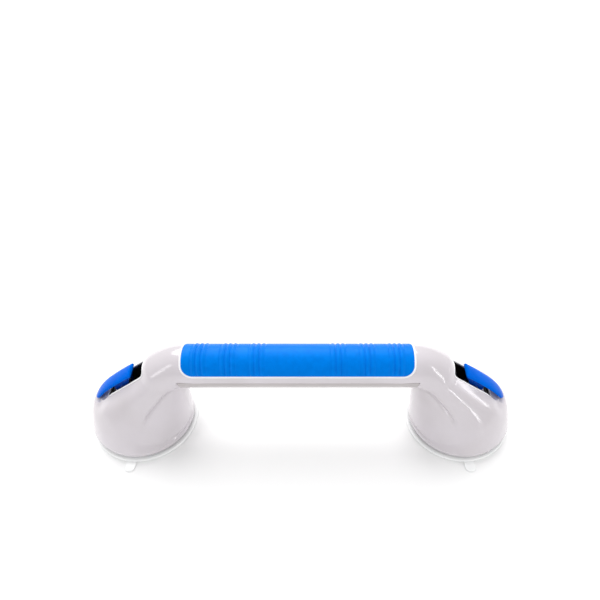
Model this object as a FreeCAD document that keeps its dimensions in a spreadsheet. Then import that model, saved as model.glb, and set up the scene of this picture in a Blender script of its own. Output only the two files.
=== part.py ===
import FreeCAD, Part
import Sketcher
import math
import os
from types import SimpleNamespace

# Suction grab bar: a round handle on two domed suction stations, each locked by a cam lever.
# The bar lies along X and stands on its two cups at Z = 0, with the origin in the middle of its footprint.
# Each station is drawn once in its own frame, on the cup's axis with +X pointing away from the handle,
# and is placed at both ends of the bar. The left one is turned half a turn about Z.

SIZES = {
    # whole bar
    "cup_spacing": 316.0,
    "handle_radius": 18.5,
    "handle_axis_height": 83.0,
    "handle_straight_reach": 78.0,
    "lower_shell_reach": 100.0,
    "shell_wall": 3.2,
    # cup
    "cup_radius": 51.5,
    "cup_lip_height": 3.4,
    "cup_boss_radius": 12.5,
    "cup_boss_height": 11.0,
    "cup_hollow": 3.0,
    "tab_width": 11.0,
    "tab_length": 11.0,
    "tab_thickness": 1.6,
    "tab_turn": 5.0,
    # dome
    "dome_radius": 49.5,
    "dome_bottom": 4.2,
    "dome_band_top": 12.0,
    "throat_foot_radius": 48.6,
    "throat_radius": 19.0,
    "throat_offset": 38.0,
    "throat_height": 72.0,
    # pull stem, pin and lever
    "pin_height": 62.0,
    "pin_radius": 2.0,
    "pin_length": 16.4,
    "running_gap": 0.05,
    "eye_radius": 4.8,
    "eye_width": 8.8,
    "stem_radius": 4.0,
    "stud_disc_radius": 9.5,
    "stud_disc_bottom": 6.0,
    "stud_disc_thickness": 2.0,
    "lever_slope": 38.0,
    "lever_tail": 19.2,
    "lever_tip": 38.0,
    "lever_top": 7.4,
    "lever_plate": 2.2,
    "lever_width": 16.6,
    "ear_thickness": 3.4,
    "ear_reach": 8.5,
    "ear_depth": 3.0,
    "cam_radius": 6.69,
    "cam_offset": 2.67,
    "cam_lead": 30.0,
    # lever well and cam plate
    "well_radius": 22.4,
    "well_width": 19.4,
    "well_wall": 1.4,
    "well_floor": 50.9,
    "well_mouth_tail": 30.0,
    "well_mouth_tip": 41.0,
    "well_shelf": 0.8,
    "well_height": 30.0,
    "stem_clearance": 0.6,
    "cam_plate_length": 17.0,
    "cam_plate_width": 18.8,
    "cam_plate_thickness": 1.4,
    # base plate, spring and screws
    "plate_radius": 45.8,
    "plate_bottom": 5.0,
    "plate_thickness": 3.0,
    "skirt_radius": 19.0,
    "skirt_bore": 15.5,
    "skirt_top": 15.0,
    "tower_radius": 13.0,
    "tower_bore": 10.0,
    "guide_bottom": 36.0,
    "guide_thickness": 4.0,
    "collar_radius": 9.0,
    "collar_bottom": 14.0,
    "collar_thickness": 1.2,
    "spring_radius": 7.2,
    "spring_wire": 1.4,
    "spring_turns": 6.0,
    "screw_radius": 1.6,
    "screw_head_radius": 3.2,
    "screw_head_height": 1.6,
    "base_screw_length": 16.0,
    "base_screw_circle": 36.0,
    "screw_post_radius": 4.0,
    "handle_screw_seat": 68.0,
    "handle_screw_length": 20.0,
    "handle_screw_inner": 28.0,
    "handle_screw_outer": 76.0,
    # grip pad
    "pad_reach": 96.0,
    "pad_floor_radius": 16.9,
    "pad_top_radius": 18.9,
    "pad_half_angle": 66.0,
}

# Cross-sections of the arm, from the handle down to the dome's band. Each is an ellipse that stands
# square to the bar's middle plane, and has its upper point, its lower point (both as distance out from
# the cup's axis and height) and half its width across the bar.
ARM_SECTIONS = [
    (-80.0, 101.5, -80.0, 64.5, 18.5),
    (-68.0, 101.5, -68.0, 64.5, 18.5),
    (-34.0, 96.0, -50.0, 58.0, 19.8),
    (-14.0, 81.5, -48.0, 44.0, 24.5),
    (12.0, 61.0, -47.0, 30.0, 31.0),
    (36.0, 40.0, -46.5, 19.0, 39.5),
    (49.5, 12.0, -49.5, 12.0, 49.5),
]
SECTION_VALUES = ("upper_out", "upper_height", "lower_out", "lower_height", "half_width")
SCREW_TURNS = (45.0, 135.0, 225.0, 315.0)
STATIONS = {"left": (-1, 180.0), "right": (1, 0.0)}
FAR = 300.0

for number, section in enumerate(ARM_SECTIONS, start=1):
    for name, value in zip(SECTION_VALUES, section):
        SIZES["arm_%d_%s" % (number, name)] = value


class Size:
    """A number together with the sheet formula that gives it."""

    def __init__(self, value, text):
        self.value = value
        self.text = text

    def __add__(self, other):
        other = as_size(other)
        return Size(self.value + other.value, "(%s + %s)" % (self.text, other.text))

    def __sub__(self, other):
        other = as_size(other)
        return Size(self.value - other.value, "(%s - %s)" % (self.text, other.text))

    def __mul__(self, factor):
        return Size(self.value * factor, "(%s * %r)" % (self.text, factor))

    def __truediv__(self, divisor):
        return Size(self.value / divisor, "(%s / %r)" % (self.text, divisor))

    def __neg__(self):
        return Size(-self.value, "(-1 * %s)" % self.text)


def as_size(number):
    """Give a plain number the form of a Size."""
    if isinstance(number, Size):
        return number
    return Size(number, "(%r)" % number)


doc = FreeCAD.newDocument("grab_bar")
sheet = doc.addObject("Spreadsheet::Sheet", "Sizes")
for row, (alias, value) in enumerate(SIZES.items(), start=1):
    sheet.set("A%d" % row, alias)
    sheet.set("B%d" % row, repr(value))
    sheet.setAlias("B%d" % row, alias)
doc.recompute()
S = SimpleNamespace(**{alias: Size(value, "Sizes." + alias) for alias, value in SIZES.items()})

X_AXIS = FreeCAD.Vector(1, 0, 0)
Y_AXIS = FreeCAD.Vector(0, 1, 0)
Z_AXIS = FreeCAD.Vector(0, 0, 1)
UPRIGHT = FreeCAD.Rotation()
ALONG_X = FreeCAD.Rotation(Y_AXIS, 90)
ALONG_Y = FreeCAD.Rotation(X_AXIS, -90)
parts = []


def primitive(kind, name, position=(0, 0, 0), rotation=UPRIGHT, **sizes):
    """Add a Part primitive whose place and sizes follow the sheet."""
    obj = doc.addObject("Part::" + kind, name)
    place = [as_size(value) for value in position]
    obj.Placement = FreeCAD.Placement(FreeCAD.Vector(*[value.value for value in place]), rotation)
    for letter, value in zip("xyz", place):
        obj.setExpression("Placement.Base." + letter, value.text)
    for prop, value in sizes.items():
        obj.setExpression(prop, as_size(value).text)
    return obj


def box(name, low, high, rotation=UPRIGHT):
    """Add a box between two corners."""
    spans = [as_size(b) - as_size(a) for a, b in zip(low, high)]
    return primitive("Box", name, low, rotation, Length=spans[0], Width=spans[1], Height=spans[2])


def cylinder(name, radius, bottom, height, rotation=UPRIGHT):
    """Add a cylinder that starts at a point."""
    return primitive("Cylinder", name, bottom, rotation, Radius=radius, Height=height)


def fuse(name, shapes):
    """Join shapes into one object."""
    obj = doc.addObject("Part::MultiFuse", name)
    obj.Shapes = shapes
    obj.Refine = False
    return obj


def cut(name, base, *tools):
    """Take shapes away from a base."""
    obj = doc.addObject("Part::Cut", name)
    obj.Base = base
    obj.Tool = tools[0] if len(tools) == 1 else fuse(name + "_tools", list(tools))
    return obj


def common(name, first, second):
    """Keep what two shapes share."""
    obj = doc.addObject("Part::Common", name)
    obj.Base = first
    obj.Tool = second
    return obj


def place_at(obj, position=(0, 0, 0), rotation=UPRIGHT):
    """Move a finished shape to a place."""
    place = [as_size(value) for value in position]
    obj.Placement = FreeCAD.Placement(FreeCAD.Vector(*[value.value for value in place]), rotation)
    for letter, value in zip("xyz", place):
        obj.setExpression("Placement.Base." + letter, value.text)
    return obj


def copy_of(obj, name):
    """Wrap a shape, so that the wrapper can have a place of its own."""
    twin = doc.addObject("Part::Compound", name)
    twin.Links = [obj]
    return twin


def turned(name, outline):
    """Turn an outline of (radius, height) points about Z, as a body with one revolved sketch."""
    body = doc.addObject("PartDesign::Body", name + "_body")
    sketch = body.newObject("Sketcher::SketchObject", name + "_sketch")
    plane = [item for item in body.Origin.OriginFeatures if item.Role == "XZ_Plane"][0]
    sketch.AttachmentSupport = [(plane, "")]
    sketch.MapMode = "FlatFace"
    add_outline(sketch, outline)
    feature = body.newObject("PartDesign::Revolution", name + "_revolution")
    feature.Profile = sketch
    feature.ReferenceAxis = (sketch, ["V_Axis"])
    feature.Angle = 360.0
    return body


def piece(obj, node, shape_count=1):
    """Name a finished object after its node and keep it for writing."""
    obj.Label = node
    parts.append((obj, node, shape_count))
    return obj


def ellipse_loft(name, inset):
    """Loft the arm's outer or, with an inset, inner surface through its sections."""
    rings = []
    for number, section in enumerate(ARM_SECTIONS, start=1):
        upper_out, upper_height, lower_out, lower_height = section[:4]
        ring = doc.addObject("Part::Ellipse", "%s_ring_%d" % (name, number))
        ring.MajorRadius = FAR
        text = "Sizes.arm_%d_" % number
        spans = "(%supper_out - %slower_out); (%supper_height - %slower_height)"
        spans = spans % (text, text, text, text)
        tilt = math.degrees(math.atan2(upper_height - lower_height, upper_out - lower_out))
        ring.Placement = FreeCAD.Placement(FreeCAD.Vector(), FreeCAD.Rotation(Y_AXIS, -tilt))
        ring.setExpression("MajorRadius", "hypot(%s) / 2 - %r" % (spans, inset))
        ring.setExpression("MinorRadius", "%shalf_width - %r" % (text, inset))
        ring.setExpression("Placement.Base.x", "(%supper_out + %slower_out) / 2" % (text, text))
        ring.setExpression("Placement.Base.z", "(%supper_height + %slower_height) / 2" % (text, text))
        rings.append(ring)
    loft = doc.addObject("Part::Loft", name)
    loft.Sections = rings
    loft.Solid = True
    loft.Ruled = False
    return loft


def throat_loft(name, inset):
    """Loft the slanted cone that joins the dome's foot to the underside of the handle."""
    rings = []
    for end, radius, out, height in (
        ("foot", S.throat_foot_radius, as_size(0.0), S.dome_bottom),
        ("neck", S.throat_radius, -S.throat_offset, S.throat_height),
    ):
        ring = doc.addObject("Part::Circle", "%s_%s" % (name, end))
        ring.setExpression("Radius", (radius - inset).text)
        place_at(ring, (out, 0, height))
        rings.append(ring)
    loft = doc.addObject("Part::Loft", name)
    loft.Sections = rings
    loft.Solid = True
    loft.Ruled = True
    return loft


def station_envelope(name, inset):
    """Join arm, throat and band into one station, whole or shrunk by an inset."""
    bottom = S.dome_bottom if inset == 0 else as_size(0.0)
    band = cylinder(name + "_band", S.dome_radius - inset, (0, 0, bottom), S.dome_band_top - bottom)
    return fuse(name, [ellipse_loft(name + "_arm", inset), throat_loft(name + "_throat", inset), band])


def bar_envelope(name, inset):
    """Join both stations and the handle's straight middle, in one step of Part's own."""
    radius = S.handle_radius - inset
    start = (-S.handle_straight_reach, 0, S.handle_axis_height)
    middle = cylinder(name + "_middle", radius, start, S.handle_straight_reach * 2, ALONG_X)
    bodies = [middle]
    for side in STATIONS:
        bodies.append(at_station(station_envelope("%s_%s" % (name, side), inset), side))
    doc.recompute()
    joined = doc.addObject("Part::Feature", name)
    joined.Shape = bodies[0].Shape.fuse([body.Shape for body in bodies[1:]])
    return joined


def lever_frame():
    """Give the turn from the station's frame to the lever's: +X to its tip, +Z out of its top."""
    return FreeCAD.Rotation(Y_AXIS, SIZES["lever_slope"])


def on_lever(obj):
    """Put a shape drawn about the pin at the pin's height, along the lever's slope."""
    return place_at(obj, (0, 0, S.pin_height), lever_frame())


def well_shape(name, extra):
    """Draw the space that the lever turns in, or with extra the outside of the tub round it."""
    width = S.well_width + extra * 2
    bowl = cylinder(name + "_bowl", S.well_radius + extra, (0, -(width / 2), S.pin_height), width, ALONG_Y)
    low = (-(S.well_mouth_tail + extra), -(width / 2), S.well_shelf - extra)
    high = (S.well_mouth_tip + extra, width / 2, S.well_height)
    mouth = on_lever(copy_of(box(name + "_slot", low, high), name + "_mouth"))
    above = box(name + "_above", (-FAR, -FAR, S.well_floor - extra), (FAR, FAR, as_size(FAR)))
    return fuse(name, [common(name + "_deep", bowl, above), mouth])


def at_station(obj, side):
    """Place a finished sub-part at one end of the bar."""
    sign, turn = STATIONS[side]
    return place_at(obj, (S.cup_spacing / 2 * sign, 0, 0), FreeCAD.Rotation(Z_AXIS, turn))


def at_both_stations(maker, node, shape_count=1):
    """Make a sub-part for each end of the bar."""
    for side in STATIONS:
        name = "%s_%s" % (side, node)
        placed = copy_of(maker(name + "_shape"), name)
        piece(at_station(placed, side), name, shape_count)


def ring_of_cylinders(name, radius, bottom, height):
    """Stand four equal cylinders on the base plate's screw circle."""
    items = []
    for number, turn in enumerate(SCREW_TURNS, start=1):
        across = S.base_screw_circle * math.cos(math.radians(turn))
        along = S.base_screw_circle * math.sin(math.radians(turn))
        items.append(cylinder("%s_%d" % (name, number), radius, (across, along, bottom), height))
    return fuse(name, items)


def screw(name, position, length, head_height):
    """Make one plain screw, head down."""
    across, along, bottom = position
    head = cylinder(name + "_head", S.screw_head_radius, position, head_height)
    shank = cylinder(name + "_shank", S.screw_radius, (across, along, bottom + head_height), length)
    return fuse(name, [head, shank])


def suction_cup(name):
    """Make the cup: a lip, a thin sloping skin and a boss that holds the stud disc."""
    gap = S.running_gap
    disc = S.stud_disc_radius + gap
    disc_low = S.stud_disc_bottom - gap
    disc_high = S.stud_disc_bottom + S.stud_disc_thickness + gap
    stem = S.stem_radius + gap
    skin = turned(name + "_skin", [
        (0, S.cup_hollow),
        (S.cup_boss_radius, S.cup_hollow),
        (S.cup_radius - 9.0, 0.8),
        (S.cup_radius - 6.5, 0),
        (S.cup_radius - 1.0, 0),
        (S.cup_radius, 1.0),
        (S.cup_radius, S.cup_lip_height - 0.8),
        (S.cup_radius - 0.8, S.cup_lip_height),
        (S.cup_radius - 8.0, S.cup_lip_height),
        (S.cup_boss_radius + 2.0, S.cup_hollow + 1.6),
        (S.cup_boss_radius, S.cup_boss_height),
        (stem, S.cup_boss_height),
        (stem, disc_high),
        (disc, disc_high),
        (disc, disc_low),
        (0, disc_low),
    ])
    tabs = []
    for number, heading in enumerate((-1, 1), start=1):
        turn = heading * (90.0 - SIZES["tab_turn"])
        low = (S.cup_radius - 6.0, -(S.tab_width / 2), 0.6)
        high = (S.cup_radius + S.tab_length, S.tab_width / 2, S.tab_thickness + 0.6)
        tab = copy_of(box("%s_tab_blank_%d" % (name, number), low, high), "%s_tab_%d" % (name, number))
        tabs.append(place_at(tab, (0, 0, 0), FreeCAD.Rotation(Z_AXIS, turn)))
    return fuse(name, [skin] + tabs)


def stud_disc(name):
    """Make the steel disc moulded into the cup at the stem's foot."""
    top = S.stud_disc_bottom + S.stud_disc_thickness
    return turned(name, [
        (S.stem_radius, S.stud_disc_bottom),
        (S.stud_disc_radius, S.stud_disc_bottom),
        (S.stud_disc_radius, top),
        (S.stem_radius, top),
    ])


def stem(name):
    """Make the pull stem: a round shank with an eye for the lever's pin."""
    height = S.pin_height - S.stud_disc_bottom
    shank = cylinder(name + "_shank", S.stem_radius, (0, 0, S.stud_disc_bottom), height)
    start = (0, -(S.eye_width / 2), S.pin_height)
    eye = cylinder(name + "_eye", S.eye_radius, start, S.eye_width, ALONG_Y)
    bore = cylinder(name + "_bore", S.pin_radius, start, S.eye_width, ALONG_Y)
    return cut(name, fuse(name + "_blank", [shank, eye]), bore)


def pivot_pin(name):
    """Make the steel pin that the lever turns on."""
    start = (0, -(S.pin_length / 2), S.pin_height)
    return cylinder(name, S.pin_radius, start, S.pin_length, ALONG_Y)


def spring_collar(name):
    """Make the washer on the stem that the release spring presses on."""
    top = S.collar_bottom + S.collar_thickness
    return turned(name, [
        (S.stem_radius, S.collar_bottom),
        (S.collar_radius, S.collar_bottom),
        (S.collar_radius, top),
        (S.stem_radius, top),
    ])


def release_spring(name):
    """Make the coil spring of square wire between the collar and the guide."""
    half = S.spring_wire / 2
    low = S.collar_bottom + S.collar_thickness + half + S.running_gap
    span = S.guide_bottom - half - S.running_gap - low
    helix = doc.addObject("Part::Helix", name + "_helix")
    helix.setExpression("Pitch", "%s / %s" % (span.text, S.spring_turns.text))
    helix.setExpression("Height", span.text)
    helix.setExpression("Radius", S.spring_radius.text)
    wire = doc.addObject("Sketcher::SketchObject", name + "_wire")
    wire.Placement = FreeCAD.Placement(FreeCAD.Vector(), FreeCAD.Rotation(X_AXIS, 90))
    add_outline(wire, [
        (S.spring_radius - half, -half),
        (S.spring_radius + half, -half),
        (S.spring_radius + half, half),
        (S.spring_radius - half, half),
    ])
    coil = doc.addObject("Part::Sweep", name + "_coil")
    coil.Sections = [wire]
    coil.Spine = (helix, ["Edge1"])
    coil.Solid = True
    coil.Frenet = True
    place_at(coil, (0, 0, low))
    return copy_of(coil, name)


def cam_plate(name):
    """Make the steel plate that the cams ride on."""
    half_length = S.cam_plate_length / 2
    half_width = S.cam_plate_width / 2
    top = S.well_floor + S.cam_plate_thickness
    plate = box(name + "_blank", (-half_length, -half_width, S.well_floor), (half_length, half_width, top))
    hole = cylinder(name + "_hole", S.stem_radius + S.stem_clearance, (0, 0, S.well_floor), FAR)
    return cut(name, plate, hole)


def lever_well(name):
    """Make the dark tub that holds the lever, trimmed to the shell's inside."""
    hole = cylinder(name + "_hole", S.stem_radius + S.stem_clearance, (0, 0, 0), S.pin_height)
    tub = cut(name + "_tub", well_shape(name + "_outside", S.well_wall), well_shape(name + "_space", 0), hole)
    return common(name, tub, station_envelope(name + "_limit", SIZES["shell_wall"]))


def base_plate(name):
    """Make the plate that closes the dome, with the tower that guides the stem."""
    plate_top = S.plate_bottom + S.plate_thickness
    guide_top = S.guide_bottom + S.guide_thickness
    tower_top = S.well_floor - S.well_wall
    guide = S.stem_radius + S.running_gap
    blank = turned(name + "_blank", [
        (S.skirt_bore, S.plate_bottom),
        (S.plate_radius, S.plate_bottom),
        (S.plate_radius, plate_top),
        (S.skirt_radius, plate_top),
        (S.skirt_radius, S.skirt_top),
        (S.tower_radius, S.skirt_top),
        (S.tower_radius, tower_top),
        (S.tower_bore, tower_top),
        (S.tower_bore, guide_top),
        (guide, guide_top),
        (guide, S.guide_bottom),
        (S.tower_bore, S.guide_bottom),
        (S.tower_bore, S.skirt_top - 2.0),
        (S.skirt_bore, S.skirt_top - 2.0),
    ])
    seats = ring_of_cylinders(name + "_seats", S.screw_head_radius + 0.2, as_size(0.0),
                              S.plate_bottom + S.screw_head_height)
    holes = ring_of_cylinders(name + "_holes", S.screw_radius, as_size(0.0), as_size(SIZES["guide_bottom"]))
    return cut(name, blank, seats, holes)


def base_screws(name):
    """Make the four screws that hold the base plate in the dome."""
    screws = []
    for number, turn in enumerate(SCREW_TURNS, start=1):
        across = S.base_screw_circle * math.cos(math.radians(turn))
        along = S.base_screw_circle * math.sin(math.radians(turn))
        position = (across, along, S.plate_bottom)
        screws.append(screw("%s_%d" % (name, number), position, S.base_screw_length, S.screw_head_height))
    group = doc.addObject("Part::Compound", name)
    group.Links = screws
    return group


def lever(name):
    """Make the cam lever: a long top plate, two ears and an eccentric cam on each ear."""
    half = S.lever_width / 2
    under = S.lever_top - S.lever_plate
    plate = box(name + "_plate", (-S.lever_tail, -half, under), (S.lever_tip, half, S.lever_top))
    lead = math.radians(SIZES["lever_slope"] - 90.0 + SIZES["cam_lead"])
    outline = [
        (-S.lever_tail, S.lever_top - 0.4),
        (-S.lever_tail, S.lever_top - 2.8),
        (-S.lever_tail + 5.9, under - 3.3),
        (-S.ear_reach + 0.5, under - 6.7),
        (-S.ear_reach + 3.5, -S.ear_depth),
        (S.ear_reach, -S.ear_depth),
        (S.ear_reach + 2.0, S.lever_top - 0.4),
    ]
    solids = [plate]
    for sign in (-1, 1):
        inner = half - S.ear_thickness if sign > 0 else -half
        sketch = doc.addObject("Sketcher::SketchObject", "%s_ear_sketch_%s" % (name, "lr"[sign > 0]))
        sketch.Placement = FreeCAD.Placement(FreeCAD.Vector(), FreeCAD.Rotation(X_AXIS, 90))
        add_outline(sketch, outline)
        ear = doc.addObject("Part::Extrusion", "%s_ear_%s" % (name, "lr"[sign > 0]))
        ear.Base = sketch
        ear.DirMode = "Custom"
        ear.Dir = Y_AXIS
        ear.Solid = True
        ear.setExpression("LengthFwd", S.ear_thickness.text)
        ear.setExpression("Placement.Base.y", inner.text)
        offset = S.cam_offset
        centre = (offset * math.cos(lead), inner, offset * math.sin(lead))
        cam = cylinder("%s_cam_%s" % (name, "lr"[sign > 0]), S.cam_radius, centre, S.ear_thickness, ALONG_Y)
        solids += [ear, cam]
    bore = cylinder(name + "_bore", S.pin_radius + S.running_gap, (0, -half, 0), S.lever_width, ALONG_Y)
    return on_lever(cut(name, fuse(name + "_blank", solids), bore))


def add_outline(sketch, outline):
    """Draw a closed outline of straight lines in a sketch, with each corner bound to the sheet."""
    points = [(as_size(first), as_size(second)) for first, second in outline]
    for start, end in zip(points, points[1:] + points[:1]):
        from_point = FreeCAD.Vector(start[0].value, start[1].value, 0)
        to_point = FreeCAD.Vector(end[0].value, end[1].value, 0)
        sketch.addGeometry(Part.LineSegment(from_point, to_point), False)
    for index in range(len(points)):
        following = (index + 1) % len(points)
        sketch.addConstraint(Sketcher.Constraint("Coincident", index, 2, following, 1))
    for index, point in enumerate(points):
        for kind, measure, axis in (("DistanceX", point[0], -2), ("DistanceY", point[1], -1)):
            if measure.value == 0:
                sketch.addConstraint(Sketcher.Constraint("PointOnObject", index, 1, axis))
                continue
            number = sketch.addConstraint(Sketcher.Constraint(kind, -1, 1, index, 1, measure.value))
            sketch.setExpression("Constraints[%d]" % number, measure.text)


def handle_screw_positions():
    """List the handle screws' places along X."""
    return [S.handle_screw_outer * -1, S.handle_screw_inner * -1, S.handle_screw_inner, S.handle_screw_outer]


def handle_columns(name, radius, bottom, height):
    """Stand a cylinder at each handle screw."""
    columns = []
    for number, reach in enumerate(handle_screw_positions(), start=1):
        columns.append(cylinder("%s_%d" % (name, number), radius, (reach, 0, bottom), height))
    return fuse(name, columns)


def handle_screws(name):
    """Make the four screws that join the handle's halves."""
    screws = []
    for number, reach in enumerate(handle_screw_positions(), start=1):
        position = (reach, 0, S.handle_screw_seat)
        screws.append(screw("%s_%d" % (name, number), position, S.handle_screw_length, S.screw_head_height))
    group = doc.addObject("Part::Compound", name)
    group.Links = screws
    return group


def grip_arc(name, inner_radius, outer_radius):
    """Draw the grip's shape: part of a tube round the top of the handle."""
    reach = S.pad_reach
    start = (-reach, 0, S.handle_axis_height)
    outer = cylinder(name + "_outer", outer_radius, start, reach * 2, ALONG_X)
    outer.setExpression("Angle", "2 * Sizes.pad_half_angle")
    turn = FreeCAD.Rotation(X_AXIS, 180.0 - SIZES["pad_half_angle"]) * ALONG_X
    outer.Placement = FreeCAD.Placement(outer.Placement.Base, turn)
    inner = cylinder(name + "_inner", inner_radius, start, reach * 2, ALONG_X)
    return cut(name, outer, inner)


def housing():
    """Make the upper shell, lower shell and grip pad from one outer and one inner envelope."""
    outside = bar_envelope("bar_outside", 0)
    inside = bar_envelope("bar_inside", SIZES["shell_wall"])
    split_low = (-S.lower_shell_reach, -(S.handle_radius * 2), S.handle_axis_height - S.handle_radius * 1.5)
    split_high = (S.lower_shell_reach, S.handle_radius * 2, S.handle_axis_height)
    split = box("handle_split", split_low, split_high)

    seat = grip_arc("grip_seat", S.pad_floor_radius, as_size(FAR))
    upper = cut("upper_blank", outside, inside, split, seat)
    mouths = []
    for side in STATIONS:
        mouths.append(at_station(well_shape(side + "_mouth", 0), side))
    upper = cut("upper_open", upper, *mouths)
    posts = []
    post_foot = S.plate_bottom + S.plate_thickness
    for side in STATIONS:
        ring = ring_of_cylinders(side + "_posts", S.screw_post_radius, post_foot, S.pin_height)
        posts.append(at_station(ring, side))
    split_height = S.handle_axis_height
    posts.append(handle_columns("upper_posts", S.screw_post_radius, split_height, S.handle_radius))
    posts = common("upper_posts_trimmed", fuse("all_posts", posts), inside)
    pilots = []
    pilot_top = S.plate_bottom + S.screw_head_height + S.base_screw_length
    for side in STATIONS:
        ring = ring_of_cylinders(side + "_pilots", S.screw_radius, as_size(0.0), pilot_top)
        pilots.append(at_station(ring, side))
    screw_top = S.screw_head_height + S.handle_screw_length
    pilots.append(handle_columns("handle_pilots", S.screw_radius, S.handle_screw_seat, screw_top))
    piece(cut("upper_shell", fuse("upper_whole", [upper, posts]), *pilots), "upper_shell")

    lower = cut("lower_blank", common("lower_outside", outside, split), inside)
    low = S.handle_axis_height - S.handle_radius
    sockets = handle_columns("lower_posts", S.screw_post_radius + 0.6, low, S.handle_radius)
    sockets = common("lower_posts_trimmed", sockets, common("lower_limit", outside, split))
    seats = handle_columns("lower_seats", S.screw_head_radius + 0.3, low - 5.0,
                           S.handle_screw_seat - low + 5.0 + S.screw_head_height)
    holes = handle_columns("lower_holes", S.screw_radius, low, S.handle_radius)
    piece(cut("lower_shell", fuse("lower_whole", [lower, sockets]), seats, holes), "lower_shell")
    piece(grip_arc("grip_pad", S.pad_floor_radius, S.pad_top_radius), "grip_pad")
    piece(handle_screws("handle_screws"), "handle_screws", 4)


def check_and_write():
    """Stop on any failed object, then write each sub-part's file."""
    os.makedirs("parts", exist_ok=True)
    for obj in doc.Objects:
        if "Invalid" in obj.State or "Error" in obj.State:
            raise RuntimeError("%s failed: %s" % (obj.Name, obj.State))
    for obj, node, shape_count in parts:
        shape = obj.Shape
        if shape.isNull() or not shape.isValid():
            raise RuntimeError("%s has no valid shape" % node)
        if len(shape.Solids) != shape_count:
            raise RuntimeError("%s has %d solids, not %d" % (node, len(shape.Solids), shape_count))
        shape.exportStep("parts/%s.step" % node)
        print("%-24s %9.1f mm3 %s" % (node, shape.Volume, shape.BoundBox))


housing()
at_both_stations(suction_cup, "suction_cup")
at_both_stations(stud_disc, "stud_disc")
at_both_stations(stem, "stem")
at_both_stations(pivot_pin, "pivot_pin")
at_both_stations(spring_collar, "spring_collar")
at_both_stations(release_spring, "release_spring")
at_both_stations(cam_plate, "cam_plate")
at_both_stations(lever_well, "lever_well")
at_both_stations(base_plate, "base_plate")
at_both_stations(base_screws, "base_screws", 4)
at_both_stations(lever, "lever")
doc.recompute()
check_and_write()
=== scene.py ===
import logging
import math
from dataclasses import dataclass
from enum import Enum
from typing import Sequence

import bmesh
import bpy
import numpy as np
from mathutils import Matrix, Vector


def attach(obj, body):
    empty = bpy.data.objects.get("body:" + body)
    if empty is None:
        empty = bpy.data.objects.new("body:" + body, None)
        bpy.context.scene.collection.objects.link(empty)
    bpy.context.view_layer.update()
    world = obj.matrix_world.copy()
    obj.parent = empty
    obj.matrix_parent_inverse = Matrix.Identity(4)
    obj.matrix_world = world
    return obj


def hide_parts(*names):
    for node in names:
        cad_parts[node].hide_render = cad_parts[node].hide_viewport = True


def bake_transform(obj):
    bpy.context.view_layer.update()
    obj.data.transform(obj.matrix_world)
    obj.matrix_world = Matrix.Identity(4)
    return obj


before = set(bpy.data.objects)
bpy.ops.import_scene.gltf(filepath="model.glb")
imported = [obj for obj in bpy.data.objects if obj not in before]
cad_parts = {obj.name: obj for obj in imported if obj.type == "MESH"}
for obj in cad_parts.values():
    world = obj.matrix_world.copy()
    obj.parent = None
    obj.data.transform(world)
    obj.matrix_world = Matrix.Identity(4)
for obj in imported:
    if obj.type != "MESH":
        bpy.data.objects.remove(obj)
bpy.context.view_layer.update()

LOG = logging.getLogger("grab_bar")
MM = 0.001
PIN_HEIGHT = 62.0
LEVER_SLOPE = math.radians(38.0)
PROBE_HEIGHT = 40.0


class Side(Enum):
    """The two ends of the bar. The value is the direction of that end along X."""

    LEFT = -1
    RIGHT = 1

    @property
    def word(self) -> str:
        """The end's name in node and body names."""
        return self.name.lower()


def linear(hex_colour: str) -> tuple[float, float, float, float]:
    """Turn an sRGB hex colour into Blender's linear one.

    Args:
        hex_colour: Six hex digits.

    Returns:
        Red, green, blue and an alpha of one.
    """
    values = [int(hex_colour[start:start + 2], 16) / 255.0 for start in (0, 2, 4)]
    bent = [v / 12.92 if v <= 0.04045 else ((v + 0.055) / 1.055) ** 2.4 for v in values]
    return (bent[0], bent[1], bent[2], 1.0)


def smoothstep(value: np.ndarray | float, low: float, high: float) -> np.ndarray:
    """Rise smoothly from zero at low to one at high, by three times the square less twice the cube."""
    share = np.clip((np.asarray(value, float) - low) / (high - low), 0.0, 1.0)
    return share * share * (3.0 - 2.0 * share)


def signed_power(value: np.ndarray, power: float) -> np.ndarray:
    """Raise the size of a value to a power and keep its sign."""
    return np.sign(value) * np.abs(value) ** power


def turned(profile: np.ndarray, turn: np.ndarray, centre: float = 0.0) -> np.ndarray:
    """Turn a profile of radii and heights about an upright axis, one ring for each of its points."""
    x, y = centre + profile[:, :1] * np.cos(turn), profile[:, :1] * np.sin(turn)
    return np.stack([x, y, profile[:, 1:] + 0.0 * x], axis=-1)


def add_object(name: str, data: bpy.types.ID) -> bpy.types.Object:
    """Add an object with its data to the scene."""
    obj = bpy.data.objects.new(name, data)
    bpy.context.scene.collection.objects.link(obj)
    return obj


def smooth_max(first: np.ndarray, second: np.ndarray, radius: np.ndarray | float) -> np.ndarray:
    """Take the larger of two values, with a parabola in the corner where they differ by under a radius."""
    share = np.clip(1.0 - np.abs(first - second) / radius, 0.0, 1.0)
    return np.maximum(first, second) + share * share * radius / 4.0


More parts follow.
